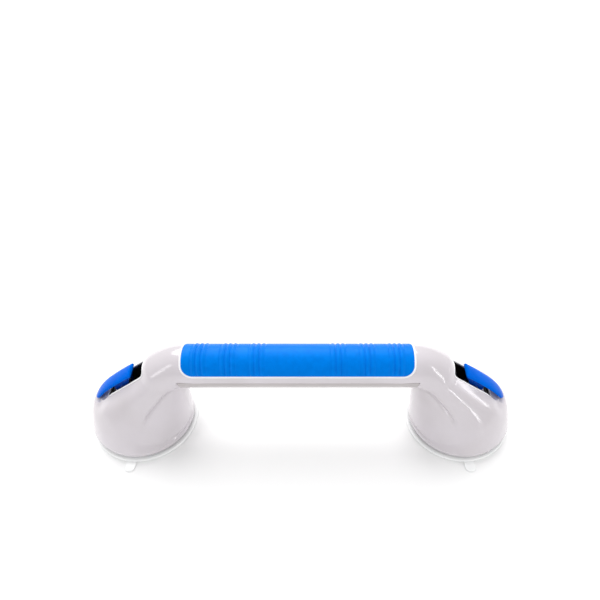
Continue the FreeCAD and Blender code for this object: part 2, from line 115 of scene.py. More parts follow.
def cubic_through(rows: Sequence[Sequence[float]], count: int) -> np.ndarray:
    """Pass a natural cubic spline through rows of numbers.

    The knots are spaced by the distance between the middles of the rows' first two point pairs.

    Args:
        rows: The values to pass through, one row for each knot.
        count: How many evenly spaced rows to return.

    Returns:
        The spline's values, count rows in all.
    """
    table = np.asarray(rows, float)
    middle = (table[:, 0:2] + table[:, 2:4]) / 2.0
    knots = np.concatenate([[0.0], np.cumsum(np.linalg.norm(np.diff(middle, axis=0), axis=1))])
    gaps = np.diff(knots)
    size = len(knots)
    matrix = np.eye(size)
    right = np.zeros_like(table)
    inner = np.arange(1, size - 1)
    matrix[inner, inner - 1] = gaps[:-1]
    matrix[inner, inner] = 2.0 * (gaps[:-1] + gaps[1:])
    matrix[inner, inner + 1] = gaps[1:]
    slopes = np.diff(table, axis=0) / gaps[:, None]
    right[1:-1] = 6.0 * np.diff(slopes, axis=0)
    bend = np.linalg.solve(matrix, right)
    at = np.linspace(0.0, knots[-1], count)
    span = np.clip(np.searchsorted(knots, at, side="right") - 1, 0, size - 2)
    gap = gaps[span][:, None]
    after = (knots[span + 1] - at)[:, None]
    before = (at - knots[span])[:, None]
    curve = (bend[span] * after ** 3 + bend[span + 1] * before ** 3) / (6.0 * gap)
    curve += (table[span] / gap - bend[span] * gap / 6.0) * after
    curve += (table[span + 1] / gap - bend[span + 1] * gap / 6.0) * before
    return curve


def ring_faces(rings: int, around: int) -> np.ndarray:
    """List the four-sided faces of a grid whose rows are closed rings.

    Args:
        rings: How many rings there are.
        around: How many points each ring has.

    Returns:
        An array of faces, each four point numbers.
    """
    row = np.arange(rings - 1)[:, None] * around
    column = np.arange(around)[None, :]
    following = (column + 1) % around
    corners = (row + column, row + following, row + around + following, row + around + column)
    return np.stack(corners, axis=-1).reshape(-1, 4)


@dataclass
class Surface:
    """Points in millimetres and the faces between them."""

    points: np.ndarray
    faces: list

    @staticmethod
    def from_rings(grid: np.ndarray) -> "Surface":
        """Skin a stack of closed rings and close both ends with a fan from the end ring's middle.

        Args:
            grid: Points as rings by points by three coordinates.

        Returns:
            One closed surface.
        """
        rings, around = grid.shape[:2]
        points = grid.reshape(-1, 3)
        ends = np.stack([grid[0].mean(axis=0), grid[-1].mean(axis=0)])
        faces = ring_faces(rings, around)
        step = np.arange(around)
        following = (step + 1) % around
        base = rings * around
        start = np.stack([following, step, np.full(around, base)], axis=-1)
        last = (rings - 1) * around
        finish = np.stack([last + step, last + following, np.full(around, base + 1)], axis=-1)
        return Surface(np.vstack([points, ends]), faces.tolist() + start.tolist() + finish.tolist())

    @staticmethod
    def from_loop_of_rings(grid: np.ndarray) -> "Surface":
        """Skin rings that come back to the first one, as on a tube bent into a loop."""
        closed = np.concatenate([grid, grid[:1]])
        return Surface(closed.reshape(-1, 3), ring_faces(*closed.shape[:2]).tolist())

    @staticmethod
    def joined(surfaces: Sequence["Surface"]) -> "Surface":
        """Put several surfaces into one, each still a closed shell of its own."""
        points = np.vstack([surface.points for surface in surfaces])
        faces: list = []
        start = 0
        for surface in surfaces:
            faces += [[corner + start for corner in face] for face in surface.faces]
            start += len(surface.points)
        return Surface(points, faces)

    def to_object(self, name: str, finish: bpy.types.Material) -> bpy.types.Object:
        """Make a Blender object in metres, with doubled points merged and faces turned outwards.

        Args:
            name: The object's name.
            finish: Its material.

        Returns:
            The new object.
        """
        mesh = bpy.data.meshes.new(name)
        mesh.from_pydata((self.points * MM).tolist(), [], self.faces)
        mesh.materials.append(finish)
        work = bmesh.new()
        work.from_mesh(mesh)
        bmesh.ops.remove_doubles(work, verts=work.verts, dist=0.004 * MM)
        bmesh.ops.recalc_face_normals(work, faces=work.faces)
        work.to_mesh(mesh)
        work.free()
        mesh.shade_smooth()
        return add_object(name, mesh)


def to_station(surface: Surface, side: Side) -> Surface:
    """Place a surface drawn for the right station at its end of the bar, half a turn round on the left."""
    turned_points = surface.points * np.array([side.value, side.value, 1.0])
    return Surface(turned_points + np.array([side.value * BAR.axis_reach, 0.0, 0.0]), surface.faces)


def lever_to_station(points: np.ndarray) -> np.ndarray:
    """Turn points from the lever's frame (along, across, out) about the pin to the station's frame."""
    along, across, out = points[..., 0], points[..., 1], points[..., 2]
    cosine, sine = math.cos(LEVER_SLOPE), math.sin(LEVER_SLOPE)
    reach = along * cosine + out * sine
    height = PIN_HEIGHT - along * sine + out * cosine
    return np.stack([reach, across, height], axis=-1)


def cut_away(obj: bpy.types.Object, cutter: bpy.types.Object) -> None:
    """Cut one object's shape out of another and delete the cutter."""
    modifier = obj.modifiers.new("cut", "BOOLEAN")
    modifier.operation = "DIFFERENCE"
    modifier.solver = "EXACT"
    modifier.object = cutter
    bpy.context.view_layer.update()
    finished = bpy.data.meshes.new_from_object(obj.evaluated_get(bpy.context.evaluated_depsgraph_get()))
    obj.modifiers.clear()
    obj.data = finished
    bpy.data.objects.remove(cutter)


def sharpen(obj: bpy.types.Object, degrees: float) -> None:
    """Shade an object smooth, but keep edges steeper than an angle sharp."""
    obj.data.shade_smooth()
    obj.data.set_sharp_from_angle(angle=math.radians(degrees))


def add_node(tree: bpy.types.NodeTree, kind: str, settings: dict | None = None,
             inputs: dict | None = None) -> bpy.types.Node:
    """Add a shader node with its settings, and link or set its inputs.

    Args:
        tree: The node tree.
        kind: The node's type name, without the word ShaderNode.
        settings: Attributes to set on the node.
        inputs: Sockets by name or number, each given a value or another node's output.

    Returns:
        The node.
    """
    node = tree.nodes.new("ShaderNode" + kind)
    for key, value in (settings or {}).items():
        setattr(node, key, value)
    for key, value in (inputs or {}).items():
        if isinstance(value, bpy.types.NodeSocket):
            tree.links.new(value, node.inputs[key])
        else:
            node.inputs[key].default_value = value
    return node


@dataclass(frozen=True)
class Finish:
    """A moulded or metal finish: a main colour that drifts a little, and a fine surface grain.

    The reflection is the tint of what the surface mirrors when it is seen square on.
    """

    name: str
    light: str
    dark: str
    roughness: float
    ior: float = 1.5
    metallic: float = 0.0
    coat: float = 0.0
    drift_mm: float = 30.0
    grain_mm: float = 1.5
    grain_depth: float = 0.02
    roughness_drift: float = 0.05
    specular: float = 0.5
    reflection: str = "FFFFFF"

    def build(self) -> bpy.types.Material:
        """Build the material from noise on Object coordinates.

        The drift is a slow change of colour, as where plastic cools unevenly. The grain is the mould's
        own texture, too shallow to see except where a highlight crosses it.

        Returns:
            The material.
        """
        material = bpy.data.materials.new(self.name)
        material.use_nodes = True
        tree = material.node_tree
        tree.nodes.clear()
        place = add_node(tree, "TexCoord").outputs["Object"]
        drift_scale, grain_scale = 1.0 / (self.drift_mm * MM), 1.0 / (self.grain_mm * MM)
        drift = add_node(tree, "TexNoise", {}, {"Vector": place, "Scale": drift_scale, "Detail": 3.0})
        grain = add_node(tree, "TexNoise", {}, {"Vector": place, "Scale": grain_scale, "Detail": 2.0})
        ramp = add_node(tree, "ValToRGB", {}, {"Fac": drift.outputs["Fac"]})
        for stop, share, shade in zip(ramp.color_ramp.elements, (0.3, 0.7), (self.dark, self.light)):
            stop.position, stop.color = share, linear(shade)
        rough = add_node(tree, "MapRange", {}, {
            "Value": grain.outputs["Fac"],
            "To Min": self.roughness - self.roughness_drift,
            "To Max": self.roughness + self.roughness_drift,
        })
        bump = add_node(tree, "Bump", {}, {
            "Height": grain.outputs["Fac"], "Distance": self.grain_depth * MM, "Strength": 0.6,
        })
        shader = add_node(tree, "BsdfPrincipled", {}, {
            "Base Color": ramp.outputs["Color"], "Roughness": rough.outputs["Result"],
            "Normal": bump.outputs["Normal"], "IOR": self.ior, "Metallic": self.metallic,
            "Specular IOR Level": self.specular, "Specular Tint": linear(self.reflection),
            "Coat Weight": self.coat, "Coat Roughness": 0.06,
        })
        add_node(tree, "OutputMaterial", {}, {"Surface": shader.outputs["BSDF"]})
        return material


# Off-white ABS from a polished mould: glossy, with soft wide reflections and a faint warm and cool drift.
WHITE_ABS = Finish(
    "moulded_white_abs", "D7D1D7", "CFC9CD", 0.13, ior=1.53, coat=0.3, drift_mm=45.0, grain_depth=0.01)
# The same ABS along the thin lips, painted paler than the shell as a highlight along them.
LIP_PAINTED_HIGHLIGHT_ABS = Finish("abs_lip_painted_highlight", "FFFFFF", "F6F6F8", 0.2, ior=1.53, drift_mm=30.0, grain_depth=0.005)
# The same ABS on the handle's underside, painted darker grey for the shade under the handle, and rougher than
# the top.
UNDERSIDE_PAINTED_SHADE_ABS = Finish(
    "underside_abs_painted_shade", "BDB7B8", "B5AFAF", 0.24, ior=1.53, drift_mm=45.0, grain_depth=0.01)
# Blue thermoplastic rubber: satin, slightly mottled, with a soft highlight.
BLUE_TPR = Finish("blue_soft_touch_tpr", "007EE6", "0076DC", 0.36, drift_mm=5.0, grain_mm=1.1,
                  grain_depth=0.09, roughness_drift=0.08, specular=0.25, reflection="3098FF")
# Blue ABS: smooth and saturated. Its reflections are weak, or the pale surroundings would wash out the blue.
BLUE_ABS = Finish("moulded_blue_abs", "0068DC", "005ED0", 0.14, drift_mm=12.0, specular=0.015,
                  reflection="3098FF", grain_depth=0.01)
# The same blue ABS on the lever's side plates, painted navy for the shade they lie in under the lever's top.
NAVY_PAINTED_SHADE_ABS = Finish("blue_abs_painted_shade", "003C9C", "003390", 0.2, drift_mm=12.0, specular=0.1,
                  reflection="3098FF", grain_depth=0.01)
# Black ABS with a fine spark texture, seen only in the gap round each lever.
BLACK_ABS = Finish("textured_black_abs", "120B0B", "060405", 0.4, drift_mm=10.0, grain_mm=0.8,
                   grain_depth=0.08, specular=0.3)
# Milky thermoplastic rubber: bright and even, and smooth where it seals.
CUP_RUBBER = Finish("milky_cup_rubber", "FFFFFF", "F6F8F8", 0.25, ior=1.48, drift_mm=25.0)
# Zinc-plated steel: bright, faintly mottled by the plating.
ZINC_STEEL = Finish("zinc_plated_steel", "C9CACB", "AEB0B2", 0.28, metallic=1.0, drift_mm=4.0, grain_mm=0.5)


@dataclass
class Bar:
    """Sizes that the whole bar shares, in millimetres."""

    axis_reach: float = 158.0
    handle_radius: float = 18.5
    handle_height: float = 83.0
    split_reach: float = 102.0
    seam_depth: float = 3.0
    seam_gap: float = 0.25


BAR = Bar()


def round_handle(reach: np.ndarray, angle: np.ndarray, radius: np.ndarray) -> np.ndarray:
    """Bend points round the handle: the angle is measured from its top."""
    up = BAR.handle_height + radius * np.cos(angle)
    return np.stack([reach + 0.0 * angle, radius * np.sin(angle), up], axis=-1)


@dataclass
class Shell:
    """The white upper shell: the handle's top, two arms and two domes.

    Each half is one grid. Its rows are slices square to the bar's middle plane that fan from the handle
    round to the floor. In a slice the outline is the larger of two curves about the slice's middle: the
    arm's ellipse, and the slanted cone that joins the dome's foot to the handle's underside.
    """

    rows: int = 204
    around: int = 216
    straight_rows: int = 10
    dome_radius: float = 49.5
    band_top: float = 12.0
    bottom: float = 4.2
    foot_radius: float = 48.9
    neck_radius: float = 19.0
    lift: float = 1.4
    neck_offset: float = 38.0
    neck_height: float = 72.0
    rim_thickness: float = 3.2
    crease_radius: float = 0.3
    shoulder_radius: float = 2.9
    groove_depth: float = 1.15
    groove_width: float = 0.4
    swelling: float = 0.3
    swelling_offset: float = 1.1
    swelling_width: float = 0.8
    scoop_start: float = 14.0
    scoop_end: float = 36.0
    scoop_floor: float = 1.2
    deck_drop: float = 3.2
    deck_span: tuple = (-42.0, -27.0, 28.0, 46.0)
    deck_sides: tuple = (11.0, 25.0)
    deck_bottom: float = -12.0
    scoop_half_width: float = 9.4
    floor_height: float = 9.0
    arm_rows: tuple = (
        (-80.0, 101.5, -80.0, 64.5, 18.5),
        (-68.0, 101.5, -68.0, 64.5, 18.5),
        (-50.0, 100.2, -54.0, 64.5, 18.3),
        (-34.0, 93.4, -50.0, 58.0, 19.8),
        (-14.0, 79.8, -48.0, 44.0, 24.5),
        (12.0, 61.0, -47.0, 30.0, 31.0),
        (36.0, 40.0, -46.5, 19.0, 39.5),
        (49.5, 12.0, -49.5, 12.0, 49.5),
    )

    def cone_radius(self, middle: np.ndarray, way: np.ndarray) -> np.ndarray:
        """Find how far a ray from inside each slice runs before it leaves the slanted cone.

        The cone's circle at each height has a middle and a radius that change in proportion to height, so
        the distance is the larger root of a square equation in the ray's length.

        Args:
            middle: The rays' starts, rows by one by three.
            way: The rays' directions, rows by points by three.

        Returns:
            The lengths, or zero where the ray leaves above the cone's neck or misses it.
        """
        rise = self.neck_height - self.bottom
        lean = -self.neck_offset / rise
        taper = (self.neck_radius - self.foot_radius) / rise
        above = middle[..., 2] - self.bottom
        start = middle[..., 0] - lean * above
        step = way[..., 0] - lean * way[..., 2]
        radius = self.foot_radius + taper * above
        radius_step = taper * way[..., 2]
        square = step ** 2 + way[..., 1] ** 2 - radius_step ** 2
        half = start * step - radius * radius_step
        rest = start ** 2 - radius ** 2
        under_root = half ** 2 - square * rest
        length = (-half + np.sqrt(np.maximum(under_root, 0.0))) / square
        height = middle[..., 2] + length * way[..., 2]
        inside = (under_root > 0.0) & (height < self.neck_height) & (length > 0.0)
        return np.where(inside, length, 0.0)

    def half(self) -> np.ndarray:
        """Work out the grid of the right half, from the bar's middle to the underside of the dome.

        Returns:
            Points as rows by points round by three, in the station's frame.
        """
        table = cubic_through(self.arm_rows, self.rows)
        upper, lower, width = table[:, 0:2], table[:, 2:4], table[:, 4]
        middle = (upper + lower) / 2.0
        height = np.linalg.norm(upper - lower, axis=1) / 2.0
        out = (upper - lower) / (2.0 * height[:, None])
        turn = np.arange(self.around) * 2.0 * math.pi / self.around
        cosine, sine = np.cos(turn)[None, :], np.sin(turn)[None, :]
        arm = 1.0 / np.sqrt((cosine / height[:, None]) ** 2 + (sine / width[:, None]) ** 2)
        way = np.stack([out[:, :1] * cosine, sine + 0.0 * out[:, :1], out[:, 1:] * cosine], axis=-1)
        start = np.stack([middle[:, 0], 0.0 * width, middle[:, 1]], axis=-1)[:, None, :]
        along = np.linspace(0.0, 1.0, self.rows)[:, None]
        shoulder = smoothstep(along, 0.6, 0.85) * (1.0 - smoothstep(along, 0.88, 0.97))
        crease = self.crease_radius + self.shoulder_radius * shoulder
        cone = self.cone_radius(start, way) * (1.0 - 0.02 * smoothstep(along, 0.9, 1.0))
        radius = np.where(cone > 0.0, smooth_max(arm, cone, crease), arm)
        radius = radius + self.crease_relief(arm, cone, along) - self.seam_cut(start[..., 0], turn)
        arms = self.scooped(start + radius[..., None] * way)
        return np.concatenate([self.straight(turn), arms[1:], self.foot(turn)])

    def crease_relief(self, arm: np.ndarray, cone: np.ndarray, along: np.ndarray) -> np.ndarray:
        """Shape the crease where the arm meets the cone.

        It is a fine groove with a soft swelling on the arm's side. Both are bell curves of the difference
        between the two radii, and both fade out down the dome.

        Args:
            arm: The arm's radius at each point.
            cone: The cone's radius at each point.
            along: How far down the arm each row is, from zero to one.

        Returns:
            What to add to the radius.
        """
        apart = cone - arm
        groove = -self.groove_depth * np.exp(-(apart / self.groove_width) ** 2)
        swelling = self.swelling * np.exp(-((apart + self.swelling_offset) / self.swelling_width) ** 2)
        fade = smoothstep(along, 0.1, 0.16) * (1.0 - smoothstep(along, 0.6, 0.82))
        return np.where(cone > 0.0, (groove + swelling) * fade, 0.0)

    def scooped(self, points: np.ndarray) -> np.ndarray:
        """Lower the shell round the lever, and sink a shallow finger scoop under the lever's tip.

        The scoop's floor is nearly flat in the lever's frame. Its walls rise steeply beside the lever and
        its floor rises past the tip, so that the shell's own surface takes over there.

        Args:
            points: The shell's points in the station's frame.

        Returns:
            The points, lowered round the lever and moved in where they still stood above the scoop.
        """
        cosine, sine = math.cos(LEVER_SLOPE), math.sin(LEVER_SLOPE)
        reach, across, height = points[..., 0], points[..., 1], points[..., 2] - PIN_HEIGHT
        along = reach * cosine - height * sine
        out = reach * sine + height * cosine
        sink = smoothstep(along, *self.deck_span[:2]) * (1.0 - smoothstep(along, *self.deck_span[2:]))
        sink = sink * (1.0 - smoothstep(np.abs(across), *self.deck_sides))
        out = out - np.where(out > self.deck_bottom, self.deck_drop * sink, 0.0)
        beside = np.clip(np.abs(across) - self.scoop_half_width, 0.0, None)
        before = np.clip(self.scoop_start - along, 0.0, None)
        past = np.clip(along - self.scoop_end, 0.0, None)
        limit = self.scoop_floor + 1.6 * beside + 1.6 * before + 0.35 * past + 0.03 * past ** 2
        sunk = -smooth_max(-out, -limit, 0.8)
        sunk = np.where((out > -2.0) & (out > limit - 0.8), sunk, out)
        return lever_to_station(np.stack([along, across, sunk], axis=-1))

    def seam_cut(self, reach: np.ndarray, turn: np.ndarray) -> np.ndarray:
        """Set back the handle's underside, where the lower shell covers it, short of the split."""
        past_split = np.abs(np.asarray(reach)) > BAR.axis_reach - BAR.split_reach
        covered = past_split & (np.cos(turn)[None, :] < -0.004)
        return np.where(covered, BAR.seam_depth, 0.0)

    def straight(self, turn: np.ndarray) -> np.ndarray:
        """Work out the straight part of the handle, from the bar's middle to the first arm row."""
        reach = np.linspace(-BAR.axis_reach, self.arm_rows[0][0], self.straight_rows)[:, None]
        return round_handle(reach, turn, BAR.handle_radius - self.seam_cut(reach, turn))

    def foot(self, turn: np.ndarray) -> np.ndarray:
        """Work out the band under the dome: a shallow step, the band, a rounded edge and the inside."""
        radius, inner = self.dome_radius, self.dome_radius - self.rim_thickness
        edge = self.bottom + self.lift
        profile = np.array([
            (radius - 0.1, self.band_top - 1.0), (radius - 0.3, edge + 3.0), (radius - 0.6, edge + 1.0),
            (radius - 0.9, edge + 0.3), (radius - 1.5, edge), (inner + 0.5, edge), (inner, edge + 0.5),
            (inner, self.floor_height), (inner / 2.0, self.floor_height),
        ])
        return turned(profile, turn)

    def build(self, finish: bpy.types.Material) -> bpy.types.Object:
        """Join the two halves into one object and cut the wells into it.

        Args:
            finish: The shell's material.

        Returns:
            The upper shell.
        """
        half = self.half()
        right = half + np.array([BAR.axis_reach, 0.0, 0.0])
        left = half * np.array([-1.0, -1.0, 1.0]) - np.array([BAR.axis_reach, 0.0, 0.0])
        left = np.concatenate([left[:, :1], left[:, :0:-1]], axis=1)
        grid = np.concatenate([left[::-1], right[1:]])
        shell = Surface.from_rings(grid).to_object("upper_shell_skin", finish)
        for side in Side:
            cut_away(shell, to_station(WELL.pocket(), side).to_object("pocket_cutter", finish))
        sharpen(shell, 38.0)
        return shell


@dataclass
class Well:
    """The recess that a lever sits in, drawn about the pin: along the lever, across it and out of it."""

    tail: float = 33.8
    tip: float = 22.0
    half_width: float = 9.8
    bowl_radius: float = 24.0
    floor_height: float = 47.5
    shelf: float = -2.6
    top: float = 30.0
    liner: float = 1.0
    around: int = 160

    def outline(self, inset: float) -> np.ndarray:
        """Work out the recess's outline, a rectangle with rounded corners.

        The corners follow a power curve, with a higher power along the lever than across it.

        Args:
            inset: How far inside the recess's wall the outline lies.

        Returns:
            Points along and across the lever.
        """
        turn = np.arange(self.around) * 2.0 * math.pi / self.around
        middle, half = (self.tip - self.tail) / 2.0, (self.tip + self.tail) / 2.0 - inset
        cosine, sine = np.cos(turn), np.sin(turn)
        along = half * signed_power(cosine, 2.0 / 14.0)
        across = (self.half_width - inset) * signed_power(sine, 2.0 / 7.0)
        return np.stack([middle + along, across], axis=-1)

    def floor(self, along: np.ndarray) -> np.ndarray:
        """Give the recess's depth: a bowl about the pin, cut off by a level floor, and end shelves."""
        cosine, sine = math.cos(LEVER_SLOPE), math.sin(LEVER_SLOPE)
        level = (self.floor_height - PIN_HEIGHT + along * sine) / cosine
        bowl = -np.sqrt(np.maximum(self.bowl_radius ** 2 - along ** 2, 0.0))
        return np.minimum(np.maximum(level, bowl), self.shelf)

    def rings(self, inset: float, top: float | np.ndarray, drop: float) -> np.ndarray:
        """Work out the wall and floor of the recess as rings from its mouth to the middle of its floor."""
        edge = self.outline(inset)
        floor = self.floor(edge[:, 0]) - drop
        shares = np.linspace(0.0, 1.0, 8)[:, None]
        depth = top + (floor - top) * shares
        wall = np.stack([edge[:, 0] + 0.0 * depth, edge[:, 1] + 0.0 * depth, depth], axis=-1)
        middle = np.array([(self.tip - self.tail) / 2.0, 0.0])
        inward = np.linspace(0.96, 0.03, 24)[:, None, None]
        flat = middle + (edge - middle) * inward
        base = np.concatenate([flat, (self.floor(flat[..., 0]) - drop)[..., None]], axis=-1)
        return np.concatenate([wall, base])

    def pocket(self) -> Surface:
        """Make the solid that cuts the recess out of the shell."""
        return Surface.from_rings(lever_to_station(self.rings(0.0, self.top, 0.0)))

    def tub(self, rim: np.ndarray) -> Surface:
        """Make the dark lining of the recess, a thin wall that stops just short of the shell's surface.

        Args:
            rim: The height of the shell's surface over each point of the outline.

        Returns:
            The lining, closed between its inner and outer faces.
        """
        top = rim[None, :] - 1.0
        outer = self.rings(0.06, top, -0.06)
        inner = self.rings(self.liner, top, -self.liner)
        return Surface.from_rings(lever_to_station(np.concatenate([outer[::-1], inner])))


WELL = Well()


def surface_heights(shell: bpy.types.Object, edge: np.ndarray) -> np.ndarray:
    """Measure how far out the shell's surface lies over points round the right end's recess.

    Args:
        shell: The shell, before the recess is cut.
        edge: Points along and across the lever.

    Returns:
        The surface's distance out from the pin, in millimetres.
    """
    far = np.concatenate([edge, np.full((len(edge), 1), PROBE_HEIGHT)], axis=1)
    way = Vector((-math.sin(LEVER_SLOPE), 0.0, -math.cos(LEVER_SLOPE)))
    heights = []
    for start in to_station(Surface(lever_to_station(far), []), Side.RIGHT).points * MM:
        hit, place = shell.ray_cast(Vector(start), way)[:2]
        heights.append(PROBE_HEIGHT - (place - Vector(start)).length / MM if hit else 5.0)
    return np.array(heights)


@dataclass
class Bead:
    """A thin rounded lip that follows a closed path."""

    radius: float = 0.6
    around: int = 10

    def along(self, path: np.ndarray, out: np.ndarray) -> Surface:
        """Carry a small circle along a closed path.

        Args:
            path: The path's points.
            out: The direction out of the surface at each point.

        Returns:
            The lip as a closed tube.
        """
        ahead = np.roll(path, -1, axis=0) - np.roll(path, 1, axis=0)
        ahead = ahead / np.linalg.norm(ahead, axis=1)[:, None]
        beside = np.cross(ahead, out)
        beside = beside / np.linalg.norm(beside, axis=1)[:, None]
        upward = np.cross(beside, ahead)
        turn = np.arange(self.around)[None, :, None] * 2.0 * math.pi / self.around
        ring = np.cos(turn) * beside[:, None, :] + np.sin(turn) * upward[:, None, :]
        return Surface.from_loop_of_rings(path[:, None, :] + self.radius * ring)


@dataclass
class Grip:
    """The blue pad let into the top of the handle, with groups of fine ribs."""

    reach: float = 96.0
    half_arc: float = 21.6
    corner: float = 9.0
    proud: float = 0.95
    floor: float = 17.0
    edge: float = 1.3
    rib_groups: tuple = (33.7, 57.7, 81.9)
    rib_pitch: float = 4.3
    ribs_in_group: int = 3
    rib_height: float = 0.4
    groove_depth: float = 0.74
    groove_width: float = 0.45
    rib_width: float = 0.6
    rows: int = 520
    across: int = 96
    lip_gap: float = 0.5
    lip_radius: float = 0.95
    lip_points: int = 600

    def half_width(self, reach: np.ndarray) -> np.ndarray:
        """Give the pad's half width round the handle, drawn in by a quarter circle at each corner."""
        past = np.clip(np.abs(reach) - (self.reach - self.corner), 0.0, self.corner)
        return self.half_arc - self.corner + np.sqrt(np.maximum(self.corner ** 2 - past ** 2, 0.0))

    def depth_in(self, reach: np.ndarray, arc: np.ndarray) -> np.ndarray:
        """Measure how far a point lies inside the pad's rounded outline."""
        along = np.abs(reach) - (self.reach - self.corner)
        over = np.abs(arc) - (self.half_arc - self.corner)
        outside = np.hypot(np.maximum(along, 0.0), np.maximum(over, 0.0))
        return self.corner - outside - np.minimum(np.maximum(along, over), 0.0)

    def ribs(self, reach: np.ndarray, arc: np.ndarray) -> np.ndarray:
        """Add up the ribs and the grooves beside them, faded out near the pad's edges.

        Each rib is a bell curve. Each groove is one too, half a pitch to either side, and two ribs share it.

        Args:
            reach: Distances along the bar.
            arc: Distances round the handle.

        Returns:
            What to add to the pad's height.
        """
        height = np.zeros_like(reach)
        middle = (self.ribs_in_group - 1) / 2.0
        for group in self.rib_groups:
            for number in range(self.ribs_in_group):
                place = group + (number - middle) * self.rib_pitch
                beside = np.abs(np.abs(reach) - place)
                height = height + self.rib_height * np.exp(-(beside / self.rib_width) ** 2)
                from_groove = (beside - self.rib_pitch / 2.0) / self.groove_width
                height = height - self.groove_depth / 2.0 * np.exp(-from_groove ** 2)
        return height * smoothstep(self.depth_in(reach, arc), 0.8, 2.6)

    def build(self, finish: bpy.types.Material) -> bpy.types.Object:
        """Make the pad: a ribbed top, rolled edges and a smooth underside.

        Args:
            finish: The pad's material.

        Returns:
            The grip pad.
        """
        share = np.sin(np.linspace(-math.pi / 2.0, math.pi / 2.0, self.rows))
        blend = np.linspace(-1.0, 1.0, self.rows)
        reach = (self.reach * (0.25 * share + 0.75 * blend))[:, None]
        across = np.sin(np.linspace(-math.pi / 2.0, math.pi / 2.0, self.across))[None, :]
        arc = self.half_width(reach) * (0.5 * across + 0.5 * np.linspace(-1.0, 1.0, self.across)[None, :])
        inward = np.clip(self.depth_in(reach, arc) / self.edge, 0.0, 1.0)
        rise = self.proud * np.sqrt(1.0 - (1.0 - inward) ** 2) + self.ribs(reach + 0.0 * arc, arc)
        top = BAR.handle_radius - 0.2 + rise
        angle = arc / BAR.handle_radius
        upper = round_handle(reach, angle, top)
        lower = round_handle(reach, angle, np.full_like(top, self.floor))[:, ::-1]
        return Surface.from_rings(np.concatenate([upper, lower], axis=1)).to_object("grip_pad_skin", finish)

    def lip(self) -> Surface:
        """Make the thin white lip of the shell round the pad.

        Its path is the pad's rounded rectangle grown a little: four quarter circles joined by straight
        lines, with points spaced evenly round it.

        Returns:
            The lip.
        """
        quarter = np.linspace(0.0, math.pi / 2.0, 30)
        turn = np.concatenate([quarter + number * math.pi / 2.0 for number in range(4)])
        sign_along = np.repeat([1.0, -1.0, -1.0, 1.0], len(quarter))
        sign_arc = np.repeat([1.0, 1.0, -1.0, -1.0], len(quarter))
        radius = self.corner + self.lip_gap
        along = sign_along * (self.reach - self.corner) + radius * np.cos(turn)
        arc = sign_arc * (self.half_arc - self.corner) + radius * np.sin(turn)
        along, arc = np.append(along, along[0]), np.append(arc, arc[0])
        run = np.concatenate([[0.0], np.cumsum(np.hypot(np.diff(along), np.diff(arc)))])
        even = np.linspace(0.0, run[-1], self.lip_points, endpoint=False)
        along, arc = np.interp(even, run, along), np.interp(even, run, arc)
        angle = arc / BAR.handle_radius
        path = round_handle(along, angle, np.full_like(angle, BAR.handle_radius - 0.1))
        out = np.stack([0.0 * angle, np.sin(angle), np.cos(angle)], axis=-1)
        return Bead(self.lip_radius).along(path, out)


@dataclass
class LowerShell:
    """The underside of the handle: half a tube with rounded edges along its seams."""

    wall: float = 2.8
    rows: int = 60
    around: int = 90
    screw_places: tuple = (-76.0, -28.0, 28.0, 76.0)

    def build(self, finish: bpy.types.Material) -> bpy.types.Object:
        """Make the half tube and sink the screw holes in it.

        Args:
            finish: The shell's material.

        Returns:
            The lower shell.
        """
        reach = np.linspace(-1.0, 1.0, self.rows)[:, None] * (BAR.split_reach - BAR.seam_gap)
        gap = BAR.seam_gap / BAR.handle_radius
        turn = np.linspace(math.pi / 2.0 + gap, 1.5 * math.pi - gap, self.around)[None, :]
        edge = np.minimum(turn - turn.min(), turn.max() - turn) * BAR.handle_radius
        outer = BAR.handle_radius - 0.35 * (1.0 - smoothstep(edge, 0.0, 0.5))
        upper = round_handle(reach, turn, outer + 0.0 * reach)
        inner = round_handle(reach, turn, np.full((self.rows, self.around), BAR.handle_radius - self.wall))
        grid = np.concatenate([upper, inner[:, ::-1]], axis=1)
        shell = Surface.from_rings(grid).to_object("lower_shell_skin", finish)
        for place in self.screw_places:
            cut_away(shell, self.screw_hole(place).to_object("hole_cutter", finish))
        sharpen(shell, 35.0)
        return shell

    @staticmethod
    def screw_hole(place: float) -> Surface:
        """Make the solid that cuts one screw's sunk hole."""
        turn = np.linspace(0.0, 2.0 * math.pi, 40, endpoint=False)
        profile = np.array([(4.1, 60.0), (4.1, 64.6), (3.5, 65.2), (3.5, 72.0)])
        return Surface.from_rings(turned(profile, turn, place))


